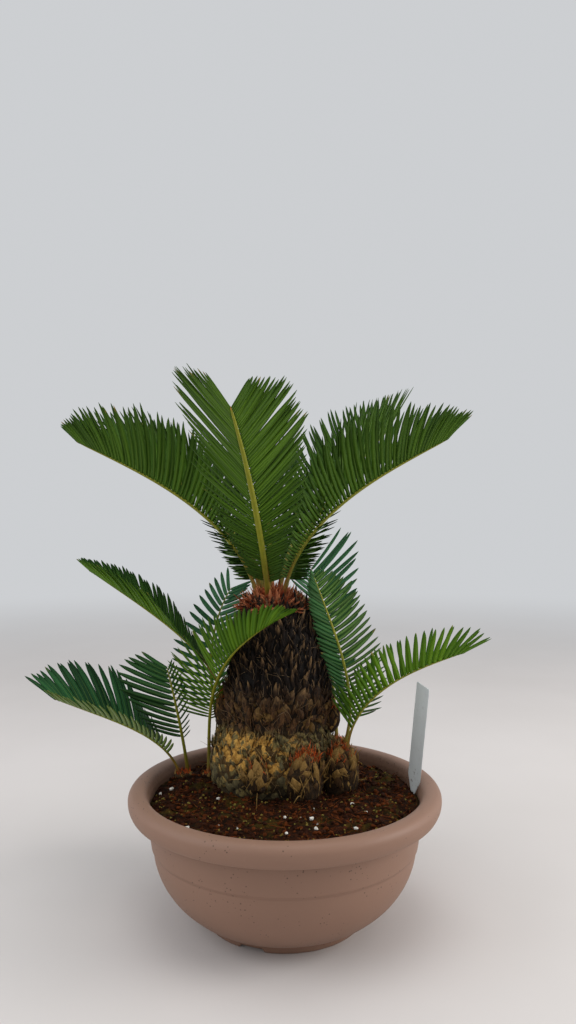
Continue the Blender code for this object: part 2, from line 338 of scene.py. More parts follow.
def spiral(table, low, high, cell):
    # heights and turns of a golden-angle spiral; its climb leaves each scale its cell of area
    z = np.linspace(low, high, 600)
    radius = np.interp(z, table[:, 0], table[:, 3])
    count = np.cumsum(math.tau * radius / readAt(cell, z)) * (z[1] - z[0])
    index = np.arange(int(count[-1]))
    return np.interp(index, count, z), index * math.radians(goldenAngle)


def lathe(profile, turns, finish):
    # profile of radius and height carried round the upright axis, then changed by the finish
    # function; both ends closed flat
    shape = np.array(profile, float)
    turn = np.arange(turns) / turns * math.tau
    radius = shape[:, 0, None]
    points = np.stack([radius * np.cos(turn), radius * np.sin(turn),
                       shape[:, 1, None] + 0 * turn], -1)
    return finish(points, turn), tubeFaces(len(shape), turns)


def rounded(points, steps):
    # smooth curve through the points: cubic pieces whose slope at each point is half the step
    # from the point before it to the point after it
    known = np.array(points, float)
    known = np.vstack([2 * known[0] - known[1], known, 2 * known[-1] - known[-2]])
    t = (np.arange(steps) / steps)[:, None]
    before, start, stop, after = known[:-3], known[1:-2], known[2:-1], known[3:]
    curve = (start[:, None] + 0.5 * t * (stop - before)[:, None]
             + t ** 2 * (before - 2.5 * start + 2 * stop - 0.5 * after)[:, None]
             + t ** 3 * (1.5 * (start - stop) + 0.5 * (after - before))[:, None])
    return np.vstack([curve.reshape(-1, known.shape[1]), known[-2]])


pot = dict(
    turns=192, steps=dict(foot=2, wall=5, band=4, rim=4, inner=2),
    foot=[(0.07, 0.0), (0.076, 0.0), (0.0772, 0.0018), (0.0785, 0.0098)],
    wall=[(0.08, 0.0104), (0.0885, 0.0118), (0.0998, 0.0202), (0.1105, 0.0312), (0.1195, 0.0455),
          (0.1247, 0.06), (0.1264, 0.0725)],
    band=[(0.128, 0.0731), (0.129, 0.08), (0.1302, 0.09), (0.1322, 0.1015), (0.1336, 0.1065),
          (0.1345, 0.1125)],
    rim=[(0.1352, 0.1138), (0.139, 0.1145), (0.1426, 0.1128), (0.1434, 0.106), (0.1446, 0.1046),
         (0.1468, 0.1058), (0.1492, 0.1105), (0.15, 0.115), (0.1495, 0.1196), (0.1463, 0.1236),
         (0.1405, 0.1247), (0.1355, 0.1238), (0.1325, 0.1212), (0.1305, 0.1165), (0.13, 0.115)],
    inner=[(0.129, 0.104), (0.1248, 0.076), (0.1214, 0.0615), (0.1164, 0.047), (0.1078, 0.0345),
           (0.0972, 0.0232), (0.0868, 0.0152), (0.0745, 0.0132), (0.0725, 0.0035), (0.06, 0.0035)],
    notches=4, notchTurn=67.5, notchHalf=9.0, notchHeight=0.0034, notchInner=0.0715,
    plastic=paint(138, 105, 87), scuffed=paint(152, 120, 102), grime=paint(62, 42, 32))


def potNotches(points, turn):
    # the foot's lowest rings rise to the notch height inside each notch's angle
    spacing = 360 / pot["notches"]
    away = (np.degrees(turn) - pot["notchTurn"] + spacing / 2) % spacing - spacing / 2
    inside = np.abs(away) < pot["notchHalf"]
    low = points[..., 2] < pot["notchHeight"]
    outer = np.hypot(points[..., 0], points[..., 1]) > pot["notchInner"]
    points[..., 2] = np.where(low & outer & inside, pot["notchHeight"], points[..., 2])
    return points


potLook = Look("pot taupe plastic", pot["plastic"])
height, outX, outY = (potLook.axis(number) for number in (2, 0, 1))
outward = (outX * outX + outY * outY) ** 0.5
blotch = potLook.noise(14, 4, 0.6)
scuff = potLook.noise(60, 5, 0.7, (1, 1, 0.35)).ramp(0.6, 0.74)
speck = 1 - potLook.cells(260).ramp(0.1, 0.2)
few = potLook.noise(38, 2).ramp(0.52, 0.6)
soiled = (1 - outward.ramp(0.1325, 0.1365)) * height.ramp(0.09, 0.11)
crumbs = potLook.noise(300, 3).ramp(0.5, 0.6)
potLook.over(blotch * 0.5, pot["scuffed"])
potLook.over(scuff * 0.35, pot["scuffed"])
potLook.over(speck * few * 0.8 + soiled * (0.12 + crumbs * 0.12), pot["grime"])
potGrain = potLook.noise(900, 2)
potLook.wear(0.46 + blotch * 0.16 + scuff * 0.1, 0.4,
             potGrain * 0.4 + blotch + speck * few, 0.0004, 0.35)
potProfile = np.vstack([rounded(pot[part], steps) for part, steps in pot["steps"].items()])
potProfile[:, 1] = np.maximum(potProfile[:, 1], 0.0)
Shape().add(*lathe(potProfile, pot["turns"], potNotches)).make("potBowl", potLook, "pot", ["pot"])

# under is the filling's underside, clear a circle kept free of grains round the trunk; each kind
# of grain has its amount, smallest and largest size and tone
soil = dict(
    top=0.1145, highest=0.0035, turns=160, rings=70, outer=0.1288, middle=0.0012, clod=0.0042,
    dip=0.0038, dipFrom=0.108, dipOver=0.02, spread=0.126,
    under=[(0.06, 0.004), (0.086, 0.0152), (0.1065, 0.0345), (0.1155, 0.0474), (0.1206, 0.062),
           (0.124, 0.076), (0.1281, 0.104)],
    clear=(-0.014, 0.038, 0.058), fibres=420, chips=(1500, 0.0011, 0.0026, 0.12),
    granules=(480, 0.0006, 0.0016, 0.55), pearls=(36, 0.001, 0.0023, 0.95), peat=paint(56, 24, 6),
    crumb=paint(104, 52, 16), wet=paint(22, 9, 2), moss=paint(74, 64, 16))


def soilHeight(x, y):
    # level top with clods of three sizes, dipping towards the wall of the pot
    flat = np.stack([x, y, 0 * x], -1)
    clods = (noiseAt(flat, 0.016, 3) + 0.7 * noiseAt(flat, 0.007, 4) + 0.45 * noiseAt(flat, 0.003, 5))
    edge = np.clip((np.hypot(x, y) - soil["dipFrom"]) / soil["dipOver"], 0, 1)
    return soil["top"] + soil["clod"] * 0.55 * clods - soil["dip"] * edge ** 2


def soilTop(points, turn):
    # rings of the top take the clod height up to the highest, and those below it stay
    top = points[..., 2] == soil["top"]
    lifted = soilHeight(points[..., 0], points[..., 1])
    points[..., 2] = np.where(top, np.minimum(lifted, soil["top"] + soil["highest"]), points[..., 2])
    return points


soilProfile = soil["under"] + [(radius, soil["top"]) for radius in
                               np.linspace(soil["outer"], soil["middle"], soil["rings"])]
soilLook = Look("soil dark peat", soil["wet"])
lump = soilLook.noise(120, 5, 0.65)
soilLook.over(lump.ramp(0.4, 0.68), soil["peat"])
soilLook.over(soilLook.noise(420, 3, 0.6).ramp(0.56, 0.72) * 0.8, soil["crumb"])
soilLook.over(soilLook.noise(34, 4, 0.6).ramp(0.5, 0.64) * lump * 0.8, soil["moss"])
soilLook.wear(0.86 + lump * 0.12, 0.1, lump + soilLook.noise(700, 3) * 0.5, 0.0022, 0.9)
Shape().add(*lathe(soilProfile, soil["turns"], soilTop)).make("soilBed", soilLook, "soil", ["soil"])


def nuggets(centre, size, rand):
    # small closed lumps: a five-ring ball squashed, turned and roughened for each centre
    count, rows, ring = len(centre), 5, 6
    rise = np.radians(np.linspace(-72, 72, rows))
    turn = np.arange(ring) / ring * math.tau
    ball = np.stack([np.outer(np.cos(rise), np.cos(turn)), np.outer(np.cos(rise), np.sin(turn)),
                     np.outer(np.sin(rise), np.ones(ring))], -1)
    rough = 1 + rand.uniform(-0.28, 0.28, (count, rows, ring, 1))
    squash = rand.uniform([0.6, 0.6, 0.5], [1.3, 1.0, 0.9], (count, 3))[:, None, None]
    spin = rand.uniform(0, math.tau, count)[:, None, None]
    local = ball[None] * rough * squash
    turned = np.stack([local[..., 0] * np.cos(spin) - local[..., 1] * np.sin(spin),
                       local[..., 0] * np.sin(spin) + local[..., 1] * np.cos(spin),
                       local[..., 2]], -1)
    points = centre[:, None, None] + turned * np.asarray(size)[:, None, None, None]
    return points, tubeFaces(rows, ring, count)


def scatter(count, rand):
    # even spread over the soil's disc, kept out of the middle of the trunk
    radius = soil["spread"] * np.sqrt(rand.uniform(0.0, 1.0, count))
    turn = rand.uniform(0, math.tau, count)
    x, y = radius * np.cos(turn), radius * np.sin(turn)
    trunkX, trunkY, clear = soil["clear"]
    free = np.hypot(x - trunkX, y - trunkY) > clear
    return x[free], y[free]


rand = np.random.default_rng(21)
grains = Shape()
for amount, low, high, tone in (soil["chips"], soil["granules"], soil["pearls"]):
    x, y = scatter(amount, rand)
    size = rand.uniform(low, high, len(x))
    at = np.stack([x, y, soilHeight(x, y) + size * 0.25], -1)
    points, faces = nuggets(at, size, rand)
    shade = perBlade(np.clip(tone + rand.uniform(-0.12, 0.12, len(x)), 0, 1))
    grains.add(points, faces, tone=shade)
x, y = scatter(soil["fibres"], rand)
turn = rand.uniform(0, math.tau, len(x))
lay = np.stack([np.cos(turn), np.sin(turn), rand.uniform(-0.05, 0.25, len(x))], -1)
side = np.stack([-np.sin(turn), np.cos(turn), 0 * turn], -1)
at = np.stack([x, y, soilHeight(x, y) + 0.0006], -1)
strands = blades(at, unit(lay), side, rand.uniform(0.004, 0.013, len(x)),
                 rand.uniform(0.0005, 0.0013, len(x)), 0.0004, strandRows, hairRing,
                 side * rand.uniform(-0.5, 0.5, len(x))[:, None])
grains.add(*strands[:2], tone=perBlade(rand.uniform(0.28, 0.42, len(x))))
grainLook = Look("soil grains and fibres", paint(40, 17, 5))
tone, = grainLook.heed("tone")
grainLook.over(tone.ramp(0.1, 0.3), paint(104, 50, 16))
grainLook.over(tone.ramp(0.38, 0.55), paint(122, 108, 50))
grainLook.over(tone.ramp(0.7, 0.85), paint(226, 222, 212))
dusty = grainLook.noise(700, 3, 0.6)
grainLook.over(dusty.ramp(0.5, 0.72) * 0.5, soil["peat"])
grainLook.wear(0.78 + dusty * 0.2, 0.12, dusty, 0.0006, 0.6)
grains.make("soilGrains", grainLook, "soil", ["soil"])

# stations are height, axis x, axis y and radius; fibres and shreds have their number, the height
# they start from, the height they spread over, and their length and width
trunk = dict(
    stations=[(0.112, -0.014, 0.038, 0.059), (0.125, -0.014, 0.038, 0.0605),
              (0.14, -0.0135, 0.038, 0.0604), (0.156, -0.0125, 0.038, 0.059),
              (0.1655, -0.011, 0.038, 0.0564), (0.171, -0.0092, 0.038, 0.0522),
              (0.176, -0.0078, 0.038, 0.0506), (0.183, -0.0065, 0.038, 0.0514),
              (0.196, -0.006, 0.038, 0.0524), (0.206, -0.006, 0.038, 0.051),
              (0.237, -0.0065, 0.038, 0.0472), (0.267, -0.008, 0.038, 0.0415),
              (0.285, -0.0095, 0.038, 0.0355), (0.296, -0.0115, 0.038, 0.03)],
    swell=0.0018, sink=0.001, fold=0.2, fibres=760, fibreFrom=0.118, fibreRise=0.176,
    fibreSize=(0.013, 0.0008), shreds=1300, shredFrom=0.15, shredRise=0.142,
    shredSize=(0.012, 0.0034))
# coats of old leaf bases: heights, area for each base, its sizes, its tilt in degrees, the inward
# curl of its tip, and how unlike each other the bases are
barkCoats = {
    "tiles": dict(span=(0.1135, 0.1695), cell=0.000098, width=0.0168, length=0.0138, thick=0.0026,
        tilt=6, curl=0.08, wild=0.07),
    "lumps": dict(span=(0.169, 0.212), cell=0.000105, width=0.0104, length=0.0165, thick=0.0034,
        tilt=19, curl=0.06, wild=0.34),
    "slivers": dict(span=(0.202, 0.2945), cell=0.000056, width=0.005, length=0.0215, thick=0.0018,
        tilt=11, curl=-0.02, wild=0.22),
}
# outlines of a tile, a pad, a petal and a bud's petal, as rows of a blade
tileRows = [(0, 0.1, 0.3), (0.16, 0.46, 0.8), (0.34, 0.8, 1), (0.5, 1, 1.05), (0.66, 0.8, 1),
            (0.84, 0.46, 0.9), (1, 0.12, 0.5)]
padRows = [(0, 0.3, 0.5), (0.12, 0.72, 0.9), (0.34, 1, 1.05), (0.56, 0.98, 1.0), (0.78, 0.62, 0.85),
           (0.93, 0.28, 0.6), (1, 0.08, 0.3)]
petalRows = [(0, 0.62, 0.8), (0.2, 0.92, 1), (0.45, 1, 1), (0.68, 0.8, 0.85), (0.86, 0.45, 0.6),
             (1, 0.08, 0.25)]
budRows = [(0, 0.8, 1), (0.3, 1, 1), (0.6, 0.82, 0.8), (0.85, 0.4, 0.5), (1, 0.05, 0.25)]


def bodyMesh(table, rows, turns, depth, seed, cell=0.006):
    # barrel grid pushed in and out along its normals by noise of two sizes; ends closed
    z = np.linspace(table[0, 0], table[-1, 0], rows)[:, None]
    turn = (np.arange(turns) / turns * math.tau)[None]
    z, turn = np.broadcast_arrays(z, turn)
    point, outward = barrel(table, z, turn)[:2]
    bump = noiseAt(point, cell, seed) + 0.5 * noiseAt(point, cell * 0.45, seed + 1)
    return point + outward * (bump * depth)[..., None], tubeFaces(rows, turns)


def coat(shape, table, low, high, cell, rand, width, length, thick, tilt, rows, curl, sink, wild,
         fold):
    # scales on a spiral over a body: each starts a little inside it and rises uphill, tipped
    # outwards by its tilt, with its tip bent back in by the curl
    z, turn = spiral(table, low, high, cell)
    z = z + rand.uniform(-1, 1, len(z)) * 0.0008
    turn = turn + rand.uniform(-1, 1, len(z)) * 0.04
    point, outward, uphill = barrel(table, z, turn)
    lean = np.radians(readAt(tilt, z) + rand.normal(0, 1, len(z)) * wild * 40)[:, None]
    across = np.cross(outward, uphill)
    twist = rand.normal(0, wild, len(z))[:, None]
    along = unit(uphill * np.cos(lean) + outward * np.sin(lean) + across * twist)
    long = readAt(length, z) * (1 + rand.uniform(-1, 1, len(z)) * wild * 1.6)
    wide = readAt(width, z) * (1 + rand.uniform(-1, 1, len(z)) * wild)
    start = point - outward * sink - along * long[:, None] * 0.22
    scales = blades(start, along, across, long, wide, thick, rows, scaleRing, -outward * curl, fold)
    shape.add(*scales, pick=perBlade(rand.uniform(0, 1, len(z))),
              tone=perBlade(rand.uniform(-0.1, 0.1, len(z))))


def hairs(shape, base, along, rand, length, width, curl, **values):
    # thin fibres from base along their direction, bent sideways at random
    count = len(base)
    bend = rand.normal(0, curl, (count, 3))
    side = np.cross(along, rand.normal(0, 1, (count, 3)))
    strands = blades(base, along, side, rand.uniform(0.5, 1, count) * length,
                     rand.uniform(0.5, 1, count) * width, width * 0.35, strandRows, hairRing, bend)
    shape.add(*strands, **{key: perBlade(value + rand.uniform(-0.12, 0.12, count))
                           for key, value in values.items()})


trunkTable = smoothed(trunk["stations"])
rand = np.random.default_rng(31)
bark = Shape().add(*bodyMesh(trunkTable, 150, 200, trunk["swell"], 11), reach=0.0, edge=1.0,
                   pick=0.5, tone=-1.0)
for rows, kind in zip((tileRows, padRows, petalRows), barkCoats.values()):
    coat(bark, trunkTable, *kind["span"], kind["cell"], rand, kind["width"], kind["length"],
         kind["thick"], kind["tilt"], rows, kind["curl"], trunk["sink"], kind["wild"], trunk["fold"])
turn = rand.uniform(0, math.tau, trunk["fibres"])
z = trunk["fibreFrom"] + trunk["fibreRise"] * rand.uniform(0, 1, trunk["fibres"]) ** 0.75
point, outward, uphill = barrel(trunkTable, z, turn)
loose = unit(uphill * rand.uniform(0.3, 1.2, (len(z), 1))
             + outward * rand.uniform(0.0, 0.8, (len(z), 1))
             + np.cross(outward, uphill) * rand.normal(0, 0.5, (len(z), 1)))
hairs(bark, point + outward * 0.0015, loose, rand, *trunk["fibreSize"], 0.25, pick=0.5, tone=0.8)
turn = rand.uniform(0, math.tau, trunk["shreds"])
z = trunk["shredFrom"] + trunk["shredRise"] * rand.uniform(0, 1, trunk["shreds"])
point, outward, uphill = barrel(trunkTable, z, turn)
loose = unit(uphill + outward * rand.uniform(0.05, 0.35, (len(z), 1))
             + np.cross(outward, uphill) * rand.normal(0, 0.4, (len(z), 1)))
hairs(bark, point + outward * 0.0014, loose, rand, *trunk["shredSize"], 0.15, pick=0.5, tone=0.35)

barkLook = Look("trunk leaf bases")
barkHeight, barkX, barkY = (barkLook.axis(number) for number in (2, 0, 1))
pick, tone, reach, edge = barkLook.heed("pick tone reach edge")
patch = barkLook.noise(70, 5, 0.62)
fine = barkLook.noise(330, 5, 0.7, (1, 1, 0.4), 0.6)
base = 1 - (barkHeight + patch * 0.02).ramp(0.18, 0.189)
upper = barkHeight.ramp(0.19, 0.225)
front = (1 - barkX.ramp(-0.015, 0.035)) * (1 - barkY.ramp(0.0, 0.045)) * barkHeight.ramp(0.126, 0.142)
grit = fine.ramp(0.32, 0.68)
chalk = barkLook.noise(260, 4, 0.65).ramp(0.32, 0.68)
wood = barkLook.mix(grit, paint(15, 9, 5), paint(104, 72, 42))
olive = barkLook.mix(chalk, paint(60, 50, 30), paint(138, 122, 74))
ochre = barkLook.mix(chalk, paint(158, 110, 44), paint(222, 172, 86))
char = barkLook.mix(grit, paint(6, 4, 3), paint(36, 24, 16))
barkLook.colour = wood
barkLook.over(base, olive)
barkLook.over(base * (1 - pick.ramp(0.15, 0.4)) * 0.6, paint(88, 82, 60))
middle = barkLook.node("Math", {"operation": "ABSOLUTE"}, {0: reach - 0.52}) * 1.6 + edge * 0.5
gold = (patch + pick * 0.12 + middle * 0.2 + front * 0.18).ramp(0.8, 0.86)
barkLook.over(gold * base * (0.25 + front * 0.75), ochre)
tanned = (patch + pick * 0.3 + middle * 0.16).ramp(0.78, 0.9) * (1 - base) * (1 - upper)
barkLook.over(tanned * 0.7, paint(134, 102, 52))
barkLook.over(upper, char)
tips = reach.ramp(0.45, 0.9) * pick.ramp(0.4, 0.7) * upper
barkLook.over(tips * 0.85, barkLook.mix(grit, paint(74, 52, 34), paint(158, 124, 82)))
strandShare = tone.ramp(0.55, 0.7)
barkLook.over(strandShare * 0.8, paint(146, 120, 88))
# painted shade: darkening at the foot of each leaf base, where it slips under its neighbour, and low
# down along its edges, where shade falls between the bases
gapShade = (1 - reach.ramp(0.02, 0.16)) * (1 - strandShare) * (1 - base * 0.5)
gapShade = gapShade + edge.ramp(0.75, 1.0) * 0.45 * (1 - strandShare) * base
barkLook.over(gapShade * 0.9, paint(14, 10, 7))
barkLook.wear(0.7 + fine * 0.25, 0.25, fine + patch * 0.5, 0.0026, 1.0)
bark.make("trunkBark", barkLook, "trunk", ["trunk"])

crown = dict(
    stations=[(0.283, -0.012, 0.0365, 0.029), (0.294, -0.0125, 0.036, 0.03),
              (0.299, -0.0125, 0.036, 0.027), (0.303, -0.0125, 0.036, 0.019),
              (0.305, -0.0125, 0.036, 0.008)],
    centre=(-0.0115, 0.036, 0.0), scales=360, scaleReach=0.0315, wool=380, woolReach=0.028,
    woolSize=(0.014, 0.0008))


def onCrown(nearest, count, reach):
    # even spread over a disc round the crown's middle: share of the reach, way out and place
    share = np.sqrt(rand.uniform(nearest, 1.0, count))
    radial = around(rand.uniform(0, math.tau, count))
    return share, radial, radial * (share * reach)[:, None] + np.array(crown["centre"])


crownTable = smoothed(crown["stations"], 60, 2)
rand = np.random.default_rng(41)
collar = Shape().add(*bodyMesh(crownTable, 40, 96, 0.0012, 13), reach=0.2, edge=1.0, pick=0.5,
                     tone=0.2)
share, radial, spot = onCrown(0.02, crown["scales"], crown["scaleReach"])
spot[:, 2] = 0.3025 - 0.0145 * share ** 2 + rand.uniform(-0.002, 0.001, len(share))
lean = np.radians(8 + 72 * share ** 2 + rand.normal(0, 9, len(share)))[:, None]
along = unit(radial * np.sin(lean) + up * np.cos(lean)
             + rand.normal(0, 0.16, (len(share), 3)))
scales = blades(spot - along * 0.004, along, np.cross(radial, along),
                rand.uniform(0.01, 0.019, len(share)), rand.uniform(0.0028, 0.0052, len(share)),
                0.0009, petalRows, scaleRing, rand.normal(0, 0.16, (len(share), 3)), 0.3)
collar.add(*scales, pick=perBlade(rand.uniform(0, 1, len(share))), tone=0.5)
share, radial, spot = onCrown(0, crown["wool"], crown["woolReach"])
spot[:, 2] = 0.303 - 0.013 * share ** 2
loose = unit(radial * share[:, None] + 0.8 * up + rand.normal(0, 0.3, (len(share), 3)))
hairs(collar, spot, loose, rand, *crown["woolSize"], 0.3, pick=0.5, tone=0.8)


def woolLook(name, darkScale, midScale, lightScale, wool, rimLight):
    # dry scales: dark at the foot, brighter to the tip, each by its own pick; hairs take the wool
    look = Look(name, darkScale)
    pick, tone, reach, edge = look.heed("pick tone reach edge")
    fine = look.noise(330, 5, 0.7, (1, 1, 0.4), 0.6).ramp(0.3, 0.7)
    wash = look.noise(150, 4, 0.6)
    look.over((reach * 0.6 + fine * 0.5).ramp(0.2, 0.75), midScale)
    look.over((pick * 0.55 + wash * 0.6 + reach * 0.15).ramp(0.55, 0.78) * 0.85, lightScale)
    look.over(edge.ramp(0.7, 1.0) * reach * rimLight, lightScale)
    look.over(tone.ramp(0.62, 0.72) * 0.85, look.mix(fine * 0.45, wool, lightScale))
    look.wear(0.7 + fine * 0.24, 0.25, fine + wash * 0.5, 0.0014, 0.9)
    return look


rustLook = woolLook("crown rusty scales", paint(56, 20, 9), paint(148, 64, 28), paint(222, 140, 96),
                    paint(156, 72, 34), 0.25)
collar.make("crownScales", rustLook, "crown_scales", ["crown_scales"])

shoots = {
    "pup_front": dict(at=(0.015, -0.004), top=0.1585, radius=0.024, size=0.014, fuzz=520, shag=110,
        seed=51),
    "pup_right": dict(at=(0.055, 0.0095), top=0.154, radius=0.019, size=0.013, fuzz=170, shag=60,
        seed=52),
    "pup_left": dict(at=(-0.1045, 0.0475), top=0.1195, radius=0.011, size=0.006, fuzz=70, seed=53),
    "pup_side": dict(at=(-0.0785, 0.0455), top=0.1185, radius=0.007, size=0.005, fuzz=40, seed=54),
    "pup_back_left": dict(at=(-0.064, 0.095), top=0.13, radius=0.013, size=0.008, fuzz=90, seed=55),
    "pup_back_right": dict(at=(0.056, 0.09), top=0.14, radius=0.016, size=0.0095, fuzz=120,
        seed=56),
}
# a shoot's outline: rows of (share of its height, share of its radius)
shootShape = [(-0.06, 0.86), (0, 0.88), (0.18, 0.97), (0.5, 0.95), (0.76, 0.8), (0.92, 0.56), (1, 0.3)]
buds = {
    "bud_left": dict(at=(-0.062, 0.038, 0.186), radius=0.011, half=0.0205, size=0.009, fuzz=90,
        seed=61),
    "bud_right": dict(at=(0.0455, 0.027, 0.1815), radius=0.0105, half=0.016, size=0.0085, fuzz=60,
        seed=62),
    "bud_low": dict(at=(-0.026, -0.022, 0.134), radius=0.012, half=0.013, size=0.0165, shag=60,
        fuzz=20, seed=63),
}
shootLook = woolLook("side shoot petals", paint(26, 15, 8), paint(88, 62, 34), paint(160, 124, 66),
                     paint(240, 88, 24), 0.8)


def shootMesh(spec, table, curl, fuzzFrom, tilt):
    # a blunt bulb under overlapping petals, with red wool where the young leaves come out, above
    # the share fuzzFrom of its height; the petals' tilt runs from the first to the second angle
    rand = np.random.default_rng(spec["seed"])
    low, high, size = table[0, 0], table[-1, 0], spec["size"]
    shape = Shape().add(*bodyMesh(table, 36, 48, size * 0.07, spec["seed"]), reach=0.05, edge=1.0,
                        pick=0.3, tone=0.0)
    coat(shape, table, low + 0.001, high - 0.001,
         [(low, size * size * 0.36), (high, size * size * 0.24)], rand,
         [(low, size), (high, size * 0.8)], [(low, size * 1.45), (high, size * 1.5)], size * 0.1,
         [(low, tilt[0]), (high, tilt[1])], budRows, curl, size * 0.05, 0.22, 0.5)
    count = spec["fuzz"]
    z = low + (high - low) * (fuzzFrom + (1 - fuzzFrom) * rand.uniform(0, 1, count) ** 0.7)
    turn = rand.uniform(0, math.tau, count)
    point, outward, uphill = barrel(table, z, turn)
    loose = unit(uphill + outward * rand.uniform(0, 0.9, (count, 1))
                 + rand.normal(0, 0.35, (count, 3)))
    hairs(shape, point, loose, rand, size * 0.7, 0.0013, 0.3, pick=0.5, tone=0.85)
    count = spec.get("shag", 0)
    z = low + (high - low) * rand.uniform(0.05, 0.95, count)
    turn = rand.uniform(0, math.tau, count)
    point, outward, uphill = barrel(table, z, turn)
    loose = unit(uphill + outward * rand.uniform(0.1, 0.6, (count, 1))
                 + rand.normal(0, 0.4, (count, 3)))
    hairs(shape, point + outward * size * 0.08, loose, rand, size * 0.9, 0.0018, 0.5, pick=0.75,
          tone=0.3)
    return shape


shootFoot, coreShare = 0.1148, 0.94  # height of the feet, and the core's share of the radius
for name, spec in shoots.items():
    table = smoothed([(shootFoot + (spec["top"] - shootFoot) * rise, *spec["at"],
                       spec["radius"] * coreShare * share) for rise, share in shootShape], 60, 3)
    piece = shootMesh(spec, table, curl=0.42, fuzzFrom=0.72, tilt=(20, 44))
    piece.make(name.replace("pup_", "pup") + "Petals", shootLook, "side_shoots", [name])
for name, spec in buds.items():
    x, y, z = spec["at"]
    table = smoothed([(z + spec["half"] * math.sin(a), x, y, spec["radius"] * coreShare * math.cos(a))
                      for a in np.radians(np.linspace(-72, 72, 15))], 60, 2)
    piece = shootMesh(spec, table, curl=0.36, fuzzFrom=0.75, tilt=(12, 26))
    piece.make(name.replace("_", "") + "Petals", shootLook, "buds", [name])

# tip is the width share at the buried foot, widening up to the shoulder; end is the share of the
# length that the rounded corners take at the top
label = dict(
    foot=(0.1252, 0.006, 0.1124), top=(0.132, -0.014, 0.2218), heading=-66.0, width=0.021,
    thick=0.0009, shoulder=0.14, tip=0.3, end=0.035, corner=0.1, bow=0.0005,
    plastic=paint(212, 216, 217), aged=paint(192, 196, 195))
rise = np.array(label["top"]) - np.array(label["foot"])
t = np.concatenate([np.linspace(0, label["shoulder"], 6), np.linspace(0.3, 0.95, 10),
                    np.linspace(1 - label["end"], 1.0, 6)])
half = np.interp(t, [0, label["shoulder"]], [label["tip"], 1.0])
bend = np.clip((t - (1 - label["end"])) / label["end"], 0, 1)
half = half - label["corner"] * (1 - np.sqrt(1 - bend ** 2 * 0.98))
across = around(math.radians(label["heading"]))
facing = unit(np.cross(across, rise))
across = unit(np.cross(rise, facing))
ring = np.array([(1, 0), (0.96, 1), (0.5, 1), (0, 1), (-0.5, 1), (-0.96, 1), (-1, 0), (-0.96, -1),
                 (-0.5, -1), (0, -1), (0.5, -1), (0.96, -1)], float)
bow = label["bow"] * (1 - ring[:, 0] ** 2)
centre = np.array(label["foot"]) + t[:, None] * rise
points = (centre[:, None] + across * (half * label["width"] / 2)[:, None, None] * ring[:, :1]
          + facing * (ring[:, 1] * label["thick"] / 2 + bow - label["bow"] / 2)[:, None])
labelLook = Look("label satin plastic", label["plastic"])
worn = labelLook.noise(55, 4, 0.6)
dirt = labelLook.noise(240, 4, 0.65).ramp(0.58, 0.72)
lower = 1 - labelLook.axis(2).ramp(0.125, 0.15)
labelLook.over(worn, label["aged"])
labelLook.over(dirt * (0.15 + lower * 0.7), paint(92, 74, 58))
labelLook.wear(0.36 + worn * 0.2, 0.5, worn + dirt * 0.4, 0.0003, 0.3)
labelBlade = Shape().add(points, tubeFaces(len(t), len(ring)))
labelBlade.make("labelBlade", labelLook, "plant_label", ["plant_label"], smooth=False)

# fronds: first the root in plan, heading, climb, arch, length and longest leaflet, then what
# differs from the base; angles in degrees, lengths in metres; stand is the height the rib starts
# from, a pair of values is for the leaflets on the right and on the left of the rib, low gives
# the lift of the first leaflets, wide and close their angle to the rib at its foot and tip, tuck
# closes the first ones, and tint runs from greyish green painted in as light on shaded fronds
# (-0.5) and bluish (0) to yellow green (1)
frondBase = dict(
    sway=0, bend=2.0, leaf=0.06, vee=58, roll=0, wide=88, close=28, start=0.07, sides=1, low=-25,
    tuck=0, gap=0.0037, leafWidth=0.0043, ribWidth=0.0044, tipLeaf=0.45, foot=0.0075, tint=0.5,
    warm=0.3, sag=0.02, lean=0.14, pale=0.1, stand=0.3035, profile="crown")
shootBase = dict(
    gap=0.0046, leafWidth=0.0052, ribWidth=0.003, foot=0.005, start=0.16, low=5, close=32,
    profile="shoot")


def frond(root, heading, climb, arch, length, leaf, **own):
    # the six values every frond has come first, and own is what differs from the base
    return {"root": root, "heading": heading, "climb": climb, "arch": arch, "length": length,
            "leaf": leaf, **own}


